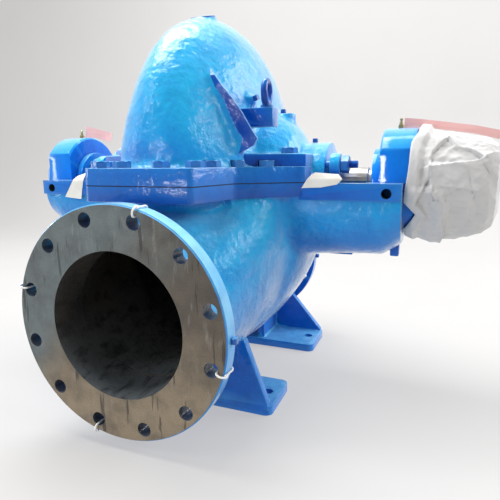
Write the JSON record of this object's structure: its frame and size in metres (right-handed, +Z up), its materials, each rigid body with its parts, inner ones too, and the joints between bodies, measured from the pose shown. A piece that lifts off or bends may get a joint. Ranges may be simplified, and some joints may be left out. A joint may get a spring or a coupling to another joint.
{
  "type": "split case pump",
  "caption": "Horizontal split case pump with side suction and discharge flanges, a domed volute, bearing arms on both sides and cast feet.",
  "frame": {"origin": "centre of the whole pump's footprint, on the plane that the feet stand on", "axes": "+X along the shaft towards the drive end, +Y from the suction flange to the discharge flange, +Z up"},
  "size_m": [1.047, 0.708, 0.7918],
  "materials": {
    "blue_enamel": "gloss enamel over a cast surface",
    "housing_enamel": "smooth gloss enamel over a turned surface",
    "bare_iron": "machined face with brown stains and scratches",
    "machined_steel": "turned and ground",
    "bronze": "cast, dull",
    "fitting_brass": "plated, dull",
    "gasket_fibre": "matte fibre sheet",
    "white_foam": "soft matte packing foam",
    "pink_tag": "matte film",
    "cream_tag": "uncoated card",
    "white_tie": "satin nylon"
  },
  "bodies": {
    "casing": {"lower_casing": "blue_enamel", "upper_casing": "blue_enamel", "gasket_suction_side": "gasket_fibre", "gasket_discharge_side": "gasket_fibre", "bearing_housing_drive": "housing_enamel", "bearing_housing_outboard": "housing_enamel", "inner_cover_drive": "housing_enamel", "inner_cover_outboard": "housing_enamel", "outer_cover_drive": "housing_enamel", "outer_cover_outboard": "housing_enamel", "grease_fitting_drive": "fitting_brass", "grease_fitting_outboard": "fitting_brass", "gland_drive": "blue_enamel", "gland_outboard": "blue_enamel", "eyebolt_drive": "blue_enamel", "eyebolt_outboard": "blue_enamel", "box_plug_drive": "blue_enamel", "box_plug_outboard": "blue_enamel", "chamber_plug_drive": "blue_enamel", "chamber_plug_outboard": "blue_enamel", "side_plug": "blue_enamel", "suction_gauge_plug": "blue_enamel", "discharge_gauge_plug": "blue_enamel", "cream_tag_drive": "cream_tag", "cream_tag_outboard": "cream_tag", "pink_tag_drive": "pink_tag", "pink_tag_outboard": "pink_tag", "drive_wrap": "white_foam", "tie_00": "white_tie", "tie_03": "white_tie", "tie_06": "white_tie", "tie_09": "white_tie"},
    "rotor": {"shaft": "machined_steel", "shaft_sleeve_drive": "machined_steel", "shaft_sleeve_outboard": "machined_steel", "impeller": "bronze"}
  },
  "joints": [
    {"name": "rotor_spin", "type": "hinge", "parent": "casing", "child": "rotor", "pos_m": [0.2, 0.074, 0.45], "axis": [1, 0, 0], "continuous": true}
  ]
}
